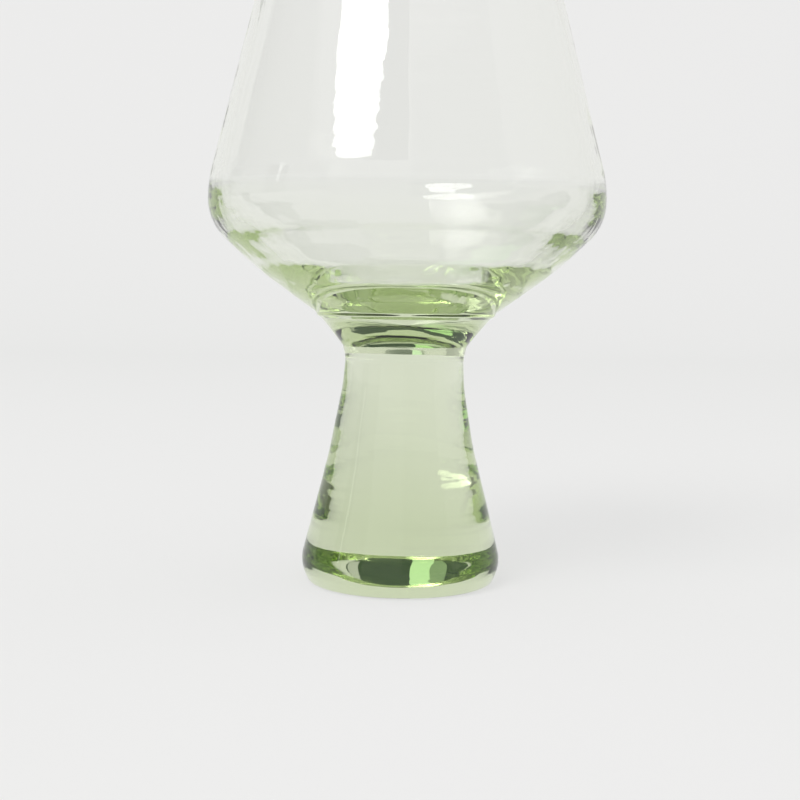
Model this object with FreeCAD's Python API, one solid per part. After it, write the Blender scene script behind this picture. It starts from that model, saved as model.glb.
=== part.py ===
"""Stemmed wine glass of solid pale green glass, worked hot by hand.

Three gathers of glass, each its own solid, welded hot one on top of the other:
  stem_foot  solid flared stem and foot in one, flat underneath
  collar     short solid ring between the stem and the bowl
  bowl       blown bowl with a thick bottom and a thinner upper wall

Millimetres.  +Z is up and is the axis of the glass.  The origin is the middle of the
flat face that the glass stands on.
"""
import FreeCAD, Part
import math
import os

os.makedirs("parts", exist_ok=True)

# ---- heights above the table ----
total_height = 165.0
bowl_joint_height = 64.3       # where the collar meets the bowl
stem_joint_height = 57.6       # where the stem meets the collar

# ---- bowl, outside ----
rim_radius = 30.3
widest_radius = 47.9
taper_corner_height = 96.6     # where the upper wall line meets the widest cylinder
belly_corner_height = 86.9     # where the lower cone line meets the widest cylinder
lower_cone_corner = (35.6, 75.5)
bead_radius = 21.6             # small upright bead at the foot of the lower cone
bead_height = 65.7
bowl_joint_radius = 20.5

# ---- bowl, inside ----
rim_wall = 1.3
rim_round = 0.5
inner_shoulder_corner = (47.3, 90.5)
inner_cone_top = (32.5, 78.9)  # the cone is three straight stretches, rounded into each other
inner_cone_middle = (25.0, 74.4)
inner_cone_foot = (17.4, 71.1)
inner_floor_height = 67.8      # the bottom is dimpled where the gather was joined

# ---- collar and neck ----
collar_waist = (16.0, 58.8)
stem_joint_radius = 15.1
neck_radius = 14.4
neck_height = 54.5

# ---- stem and foot ----
upper_stem = (14.9, 48.0)
flare_start = (17.5, 33.0)     # the flare is straight from here down to the foot
foot_bulge = (24.84, 4.3)      # before the side of the foot is rounded
foot_bulge_round = 8.9
foot_corner = (22.75, 0.0)     # before its edge is rounded
foot_edge_round = 0.8


def vector(point):
    """A point of the half section, given as (radius, height), in the XZ plane."""
    return FreeCAD.Vector(point[0], 0.0, point[1])


def rounded_outline(corners):
    """Edges through (radius, height, rounding) corners, closed, each rounding a tangent arc."""
    edges = []
    count = len(corners)
    starts = []
    ends = []
    for index in range(count):
        here = vector(corners[index])
        to_last = (vector(corners[index - 1]) - here).normalize()
        to_next = (vector(corners[(index + 1) % count]) - here).normalize()
        rounding = corners[index][2]
        if rounding == 0:
            starts.append(here)
            ends.append(here)
            continue
        half_angle = to_last.getAngle(to_next) / 2
        reach = rounding / math.tan(half_angle)
        middle_reach = rounding / math.sin(half_angle) - rounding
        first = here + to_last * reach
        last = here + to_next * reach
        middle = here + (to_last + to_next).normalize() * middle_reach
        edges.append((index, Part.Arc(first, middle, last).toShape()))
        starts.append(first)
        ends.append(last)
    for index in range(count):
        gap_start = ends[index]
        gap_end = starts[(index + 1) % count]
        along = vector(corners[(index + 1) % count]) - vector(corners[index])
        if (gap_end - gap_start).dot(along) < -1e-6:
            raise ValueError("roundings overlap after corner " + str(index))
        if gap_start.distanceToPoint(gap_end) > 1e-6:
            edges.append((index + 0.5, Part.LineSegment(gap_start, gap_end).toShape()))
    edges.sort(key=lambda item: item[0])
    return [edge for _, edge in edges]


def turned(corners):
    """The solid swept by turning a closed half section round the axis of the glass."""
    wire = Part.Wire(Part.__sortEdges__(rounded_outline(corners)))
    face = Part.Face(wire)
    return face.revolve(FreeCAD.Vector(0, 0, 0), FreeCAD.Vector(0, 0, 1), 360)


def make_bowl():
    """Tapered upper wall, round belly, straight lower cone and a thick solid bottom."""
    return turned([
        (0.0, inner_floor_height, 0),
        (*inner_cone_foot, 11.5),
        (*inner_cone_middle, 22.0),
        (*inner_cone_top, 27.0),
        (*inner_shoulder_corner, 12.7),
        (rim_radius - rim_wall, total_height, rim_round),
        (rim_radius, total_height, rim_round),
        (widest_radius, taper_corner_height, 32.0),
        (widest_radius, belly_corner_height, 12.8),
        (*lower_cone_corner, 90.0),
        (bead_radius + 0.3, bead_height, 0.4),
        (bead_radius, bead_height - 0.8, 0.6),
        (bowl_joint_radius, bowl_joint_height, 0),
        (0.0, bowl_joint_height, 0),
    ])


def make_collar():
    """Solid ring that narrows from the bowl to the stem."""
    return turned([
        (0.0, bowl_joint_height, 0),
        (bowl_joint_radius, bowl_joint_height, 0),
        (*collar_waist, 8.0),
        (stem_joint_radius, stem_joint_height, 0),
        (0.0, stem_joint_height, 0),
    ])


def make_stem_foot():
    """Solid stem that flares into the foot, with a rounded side and a flat underside."""
    return turned([
        (0.0, stem_joint_height, 0),
        (stem_joint_radius, stem_joint_height, 0),
        (neck_radius, neck_height, 8.0),
        (*upper_stem, 40.0),
        (*flare_start, 60.0),
        (*foot_bulge, foot_bulge_round),
        (*foot_corner, foot_edge_round),
        (0.0, 0.0, 0),
    ])


pieces = {
    "bowl": make_bowl(),
    "collar": make_collar(),
    "stem_foot": make_stem_foot(),
}

for name, shape in pieces.items():
    if not shape.isValid() or shape.Volume <= 0:
        raise ValueError("solid is not valid: " + name)
    shape.exportStep(os.path.join("parts", name + ".step"))
    box = shape.optimalBoundingBox()
    print(name, "volume", round(shape.Volume), "mm3, height", round(box.ZMin, 2), "to", round(box.ZMax, 2))
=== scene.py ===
"""Stemmed wine glass of hand-worked pale green glass, standing on a pale studio floor."""
import math

import bmesh
import bpy
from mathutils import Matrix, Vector, noise


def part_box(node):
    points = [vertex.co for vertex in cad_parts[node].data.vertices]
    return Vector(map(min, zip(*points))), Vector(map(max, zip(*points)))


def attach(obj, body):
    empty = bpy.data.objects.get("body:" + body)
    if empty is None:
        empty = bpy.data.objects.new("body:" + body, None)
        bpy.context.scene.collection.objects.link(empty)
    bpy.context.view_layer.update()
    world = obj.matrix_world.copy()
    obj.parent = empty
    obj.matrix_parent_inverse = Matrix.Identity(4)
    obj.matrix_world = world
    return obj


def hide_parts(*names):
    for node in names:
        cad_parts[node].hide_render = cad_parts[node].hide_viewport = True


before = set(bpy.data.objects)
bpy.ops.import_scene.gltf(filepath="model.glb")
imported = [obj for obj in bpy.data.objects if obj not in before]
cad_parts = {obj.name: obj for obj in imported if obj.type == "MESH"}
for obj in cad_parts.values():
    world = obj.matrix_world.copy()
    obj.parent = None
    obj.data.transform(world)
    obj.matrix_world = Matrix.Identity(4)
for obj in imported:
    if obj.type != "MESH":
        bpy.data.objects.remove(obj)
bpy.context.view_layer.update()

MM = 0.001
TURN_STEPS = 256               # faces round the axis
OUTLINE_STEP = 0.45            # mm between rings along an outline
WELD_GAP = 0.01                # mm of clearance kept each side of a hot joint
FLOOR_LEVEL = -0.0003          # m; the foot stands on high spots, so air stays under it
LEAN = 0.55                    # mm by which the bowl stands off the middle of the foot
SLOW_WAVES = 0.14              # mm, hand-worked unevenness from one side to another
TOOL_RINGS = 0.02              # mm, fine rings left by turning the hot glass in a tool
CLEAR_GLASS = 1.5              # refractive index
JOINED_GLASS = 1.0             # index that lets light pass a joint as if there were none
BLACK_CARD = (0.015, 0.015, 0.015)

# ---- levels taken from the frame, in mm ----
stem_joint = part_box("stem_foot")[1][2] / MM
bowl_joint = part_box("collar")[1][2] / MM
rim_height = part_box("bowl")[1][2] / MM
stem_weld = stem_joint - WELD_GAP
collar_weld = stem_joint + WELD_GAP
collar_top_weld = bowl_joint - WELD_GAP
bowl_weld = bowl_joint + WELD_GAP


def rounded(corners):
    """Points along an open (radius, height, rounding) outline, each corner a tangent arc."""
    points = [(corners[0][0], corners[0][1])]
    for before, corner, after in zip(corners, corners[1:], corners[2:]):
        here = Vector(corner[:2])
        to_last = (Vector(before[:2]) - here).normalized()
        to_next = (Vector(after[:2]) - here).normalized()
        if corner[2] == 0:
            points.append(tuple(here))
            continue
        half = to_last.angle(to_next) / 2
        reach = corner[2] / math.tan(half)
        centre = here + (to_last + to_next).normalized() * corner[2] / math.sin(half)
        first = here + to_last * reach
        sweep = math.pi - 2 * half
        turn = math.copysign(1, to_last.x * to_next.y - to_last.y * to_next.x)
        start = math.atan2(first.y - centre.y, first.x - centre.x)
        count = max(3, math.ceil(sweep * corner[2] / OUTLINE_STEP))
        for index in range(count + 1):
            angle = start - turn * sweep * index / count
            along = Vector((math.cos(angle), math.sin(angle)))
            points.append(tuple(centre + along * corner[2]))
    points.append((corners[-1][0], corners[-1][1]))
    filled = [points[0]]
    for start, end in zip(points, points[1:]):
        length = math.dist(start, end)
        parts = max(1, math.ceil(length / OUTLINE_STEP))
        for index in range(1, parts + 1):
            share = index / parts
            filled.append(tuple(Vector(start).lerp(Vector(end), share)))
    return filled


def lean(height):
    """How far the hand-set axis has drifted sideways at a height, in mm."""
    starts_at = 35
    ends_at = 70
    share = min(max((height - starts_at) / (ends_at - starts_at), 0), 1)
    return LEAN * share * share * (3 - 2 * share)


def unevenness(height, angle):
    """How far hand-worked glass strays outward from round, in mm; less in the thin upper wall."""
    outward = Vector((math.cos(angle), math.sin(angle), 0))
    up = Vector((0, 0, height))
    slow = SLOW_WAVES * noise.noise(1.4 * outward + 0.07 * up)
    rings = TOOL_RINGS * noise.noise(0.6 * outward + 0.45 * up)
    belly, upper_wall = 70, 110
    strength = 1 - 0.8 * min(max((height - belly) / (upper_wall - belly), 0), 1)
    return (slow + rings) * strength


def turned(name, corners):
    """A closed body swept from a half section that starts and ends on the axis."""
    outline = rounded(corners)
    mesh = bmesh.new()
    rings = []
    for radius, height in outline:
        if radius < 1e-6:
            point = Vector((lean(height), 0, height)) * MM
            rings.append([mesh.verts.new(point)])
            continue
        ring = []
        for index in range(TURN_STEPS):
            angle = 2 * math.pi * index / TURN_STEPS
            near_axis = min(radius / 10, 1)
            reach = radius + unevenness(height, angle) * near_axis
            point = Vector((reach * math.cos(angle), reach * math.sin(angle), height))
            point.x += lean(height)
            ring.append(mesh.verts.new(point * MM))
        rings.append(ring)
    for below, above in zip(rings, rings[1:]):
        for index in range(TURN_STEPS):
            follow = (index + 1) % TURN_STEPS
            if len(below) == 1:
                mesh.faces.new((below[0], above[index], above[follow]))
            elif len(above) == 1:
                mesh.faces.new((below[index], above[0], below[follow]))
            else:
                mesh.faces.new((below[index], above[index], above[follow], below[follow]))
    bmesh.ops.recalc_face_normals(mesh, faces=mesh.faces)
    data = bpy.data.meshes.new(name)
    mesh.to_mesh(data)
    mesh.free()
    for face in data.polygons:
        face.use_smooth = True
    piece = bpy.data.objects.new(name, data)
    bpy.context.scene.collection.objects.link(piece)
    return piece


# ---- half sections as (radius, height, rounding) corners in mm, the same shapes as the frame's ----
inside_of_bowl = [
    (0.0, 67.8, 0), (17.4, 71.1, 11.5), (25.0, 74.4, 22.0), (32.5, 78.9, 27.0), (47.3, 90.5, 12.7),
    (29.0, rim_height, 0.5),
]
outside_of_bowl = [
    (30.3, rim_height, 0.5), (47.9, 96.6, 32.0), (47.9, 86.9, 12.8), (35.6, 75.5, 90.0),
    (21.9, 65.7, 0.4), (21.6, 64.9, 0.6), (20.5, bowl_weld, 0), (0.0, bowl_weld, 0),
]
collar = [
    (0.0, collar_top_weld, 0), (20.5, collar_top_weld, 0), (16.0, 58.8, 8.0),
    (15.1, collar_weld, 0), (0.0, collar_weld, 0),
]
stem_and_foot = [
    (0.0, stem_weld, 0), (15.1, stem_weld, 0), (14.4, 54.5, 8.0), (14.9, 48.0, 40.0),
    (17.5, 33.0, 60.0), (24.84, 4.3, 8.9), (22.75, 0.0, 0.8), (0.0, 0.0, 0),
]


def surface_waves(tree, space, scale, depth):
    """Bump from soft noise; the scale is in waves per metre along x, y and z."""
    stretch = tree.nodes.new("ShaderNodeMapping")
    stretch.inputs["Scale"].default_value = scale
    waves = tree.nodes.new("ShaderNodeTexNoise")
    waves.inputs["Scale"].default_value = 1.0
    waves.inputs["Detail"].default_value = 1.5
    bump = tree.nodes.new("ShaderNodeBump")
    bump.inputs["Strength"].default_value = 1.0
    bump.inputs["Distance"].default_value = depth
    tree.links.new(space.outputs["Object"], stretch.inputs["Vector"])
    tree.links.new(stretch.outputs["Vector"], waves.inputs["Vector"])
    tree.links.new(waves.outputs["Fac"], bump.inputs["Height"])
    return bump


def glass_material():
    """Glass whose tint builds up with depth, with tool rings and cords in its surface.

    Joint faces carry weld = 1, which takes their refraction away, so the three gathers
    look like one piece of glass.
    """
    material = bpy.data.materials.new("green_glass")
    material.use_nodes = True
    tree = material.node_tree
    surface = tree.nodes["Principled BSDF"]
    surface.inputs["Base Color"].default_value = (1, 1, 1, 1)
    surface.inputs["Roughness"].default_value = 0.0
    surface.inputs["Transmission Weight"].default_value = 1.0
    surface.inputs["IOR"].default_value = CLEAR_GLASS
    space = tree.nodes.new("ShaderNodeTexCoord")
    rings = surface_waves(tree, space, (25, 25, 330), 0.00005)
    cords = surface_waves(tree, space, (140, 140, 60), 0.00007)
    tree.links.new(rings.outputs["Normal"], cords.inputs["Normal"])
    tree.links.new(cords.outputs["Normal"], surface.inputs["Normal"])
    weld = tree.nodes.new("ShaderNodeAttribute")
    weld.attribute_name = "weld"
    refraction = tree.nodes.new("ShaderNodeMapRange")
    refraction.inputs["To Min"].default_value = CLEAR_GLASS
    refraction.inputs["To Max"].default_value = JOINED_GLASS
    tree.links.new(weld.outputs["Fac"], refraction.inputs["Value"])
    tree.links.new(refraction.outputs["Result"], surface.inputs["IOR"])
    tint = tree.nodes.new("ShaderNodeVolumeAbsorption")
    tint.inputs["Color"].default_value = (0.625, 0.745, 0.34, 1)
    tint.inputs["Density"].default_value = 20.0
    tree.links.new(tint.outputs["Volume"], tree.nodes["Material Output"].inputs["Volume"])
    return material


def mark_welds(piece, levels):
    """Faces lying in a joint plane carry weld = 1, and keep their edge sharp."""
    data = piece.data
    attribute = data.attributes.new("weld", "FLOAT", "FACE")
    sharp = data.attributes.new("sharp_edge", "BOOLEAN", "EDGE")
    for face in data.polygons:
        heights = [data.vertices[index].co.z / MM for index in face.vertices]
        flat = any(all(abs(height - level) < 1e-3 for height in heights) for level in levels)
        attribute.data[face.index].value = 1.0 if flat else 0.0
    kinds = {}
    for face in data.polygons:
        for key in face.edge_keys:
            kinds.setdefault(key, set()).add(attribute.data[face.index].value)
    for edge in data.edges:
        if len(kinds[tuple(sorted(edge.vertices))]) > 1:
            sharp.data[edge.index].value = True


glass = glass_material()
for node, outline, weld_levels, slot in (
    ("bowl", inside_of_bowl + outside_of_bowl, (bowl_weld,), "bowl_glass"),
    ("collar", collar, (collar_top_weld, collar_weld), "collar_glass"),
    ("stem_foot", stem_and_foot, (stem_weld,), "stem_glass"),
):
    piece = turned(node + "_glass", outline)
    mark_welds(piece, weld_levels)
    piece.data.materials.append(glass)
    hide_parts(node)
    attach(piece, "root")


# ---- studio ----
def link(name, data):
    holder = bpy.data.objects.new(name, data)
    bpy.context.scene.collection.objects.link(holder)
    return holder


def matt_material(name, colour, glow, tint=(1, 1, 1)):
    """Even matt card or cloth; the glow stands for light coming through or bouncing off it."""
    material = bpy.data.materials.new(name)
    material.use_nodes = True
    surface = material.node_tree.nodes["Principled BSDF"]
    surface.inputs["Base Color"].default_value = (*colour, 1)
    surface.inputs["Roughness"].default_value = 1.0
    surface.inputs["Specular IOR Level"].default_value = 0.0
    surface.inputs["Emission Color"].default_value = (*tint, 1)
    surface.inputs["Emission Strength"].default_value = glow
    return material


def stage_mesh(name, rows, material):
    """Smooth sheet through rows of points."""
    mesh = bmesh.new()
    grid = [[mesh.verts.new(point) for point in row] for row in rows]
    for low, high in zip(grid, grid[1:]):
        for index in range(len(low) - 1):
            mesh.faces.new((low[index], low[index + 1], high[index + 1], high[index]))
    data = bpy.data.meshes.new(name)
    mesh.to_mesh(data)
    mesh.free()
    for face in data.polygons:
        face.use_smooth = True
    sheet = link(name, data)
    data.materials.append(material)


def make_sweep():
    """Floor that curves up into a low back wall, open at the front and sides."""
    depth, bend, wall, width = 1.3, 0.45, 0.76, 4.0
    steps = 24
    points = [(-width, FLOOR_LEVEL), (depth, FLOOR_LEVEL)]
    for index in range(1, steps + 1):
        angle = math.pi / 2 * index / steps
        points.append((depth + bend * math.sin(angle), bend * (1 - math.cos(angle))))
    points.append((depth + bend, wall))
    paper = matt_material("paper", (0.25, 0.248, 0.245), 0.605)
    stage_mesh("studio_sweep", [[(x, y, z) for x in (-width, width)] for y, z in points], paper)


def hung_board(name, low_left, low_right, top_left, top_right, distance, glow, tint=(1, 1, 1)):
    """Board hung round the glass; its corners are (azimuth, elevation) in degrees, 0 = behind it."""
    rows = []
    steps = 12
    for step in range(steps + 1):
        rise = step / steps
        left = Vector(low_left).lerp(Vector(top_left), rise)
        right = Vector(low_right).lerp(Vector(top_right), rise)
        row = []
        for index in range(steps + 1):
            azimuth, elevation = (math.radians(value) for value in left.lerp(right, index / steps))
            flat = distance * math.cos(elevation)
            row.append((flat * math.sin(azimuth), flat * math.cos(azimuth), distance * math.sin(elevation)))
        rows.append(row)
    stage_mesh(name, rows, matt_material(name + "_face", BLACK_CARD, glow, tint))


def softbox(name, place, target, size, radiance, shape="RECTANGLE"):
    """Flat light whose face shows the given brightness."""
    lamp = bpy.data.lights.new(name, "AREA")
    lamp.shape = shape
    lamp.size, lamp.size_y = size
    area = size[0] * size[1] * (math.pi / 4 if shape == "ELLIPSE" else 1)
    lamp.energy = radiance * math.pi * area
    holder = link(name, lamp)
    holder.location = place
    aim = Vector(target) - Vector(place)
    holder.rotation_euler = aim.to_track_quat("-Z", "Y").to_euler()


make_sweep()
# Boards outside the view, which the glass reflects and bends into it.  Those behind the
# glass glow green: painted green light, not a colour of the boards, to deepen the band round the foot.
hung_board("back_flag", (-44, 23.5), (28, 23.5), (-44, 60), (28, 60), 2.6, 0.06, (0.40, 1.0, 0.30))
hung_board("back_green_glow", (-10, 24), (-3, 24), (-24, 52), (-8, 50), 2.3, 1.05, (0.70, 1.0, 0.58))
hung_board("back_green_glow_edge", (-20, 26), (-10, 26), (-26, 44), (-18, 44), 2.35, 0.40, (0.7, 1.0, 0.55))
hung_board("small_reflector", (19, 28), (26, 28), (22, 38), (28, 38), 2.3, 0.60)
hung_board("grey_side", (-136, -4), (-60, -4), (-136, 24), (-60, 60), 3.6, 0.50)
hung_board("dark_strip", (-109, -3), (-94, -3), (-109, 20), (-94, 20), 3.0, 0.16)
hung_board("thin_strip", (-105, 9), (-103, 9), (-105, 22), (-103, 22), 2.8, 1.6)
hung_board("camera_flag", (-180, 26), (-152, 26), (-180, 46), (-168, 46), 3.4, 0.22)
hung_board("right_wall", (119, -2), (178, -2), (119, 40), (178, 40), 3.6, 0.62)
softbox("key_softbox", (-1.35, -1.90, 2.37), (0, 0, 0.12), (1.68, 1.68), 6.5, "ELLIPSE")
softbox("wall_wash", (0.0, 0.55, 2.2), (0, 1.7, 0.4), (1.6, 0.3), 0.10)

world = bpy.data.worlds.new("studio_air")
bpy.context.scene.world = world
world.use_nodes = True
world.node_tree.nodes["Background"].inputs["Color"].default_value = (0.82, 0.815, 0.81, 1)

# ---- camera ----
camera_distance = 0.315
eye_height = 0.069
pitch = math.radians(4.486)
roll = math.radians(0.7)
lens = bpy.data.cameras.new("camera")
lens.sensor_width = 36
lens.lens = 57.86
lens.clip_start = 0.01
camera = bpy.data.objects.new("camera", lens)
camera.location = (-0.0009, -camera_distance, eye_height)
camera.rotation_euler = (math.pi / 2 - pitch, -roll, 0)
bpy.context.scene.collection.objects.link(camera)
bpy.context.scene.camera = camera

scene = bpy.context.scene
scene.view_settings.view_transform = "Standard"
scene.cycles.use_denoising = True
scene.cycles.max_bounces = 40
scene.cycles.transmission_bounces = 40
scene.cycles.glossy_bounces = 24
scene.cycles.transparent_max_bounces = 24
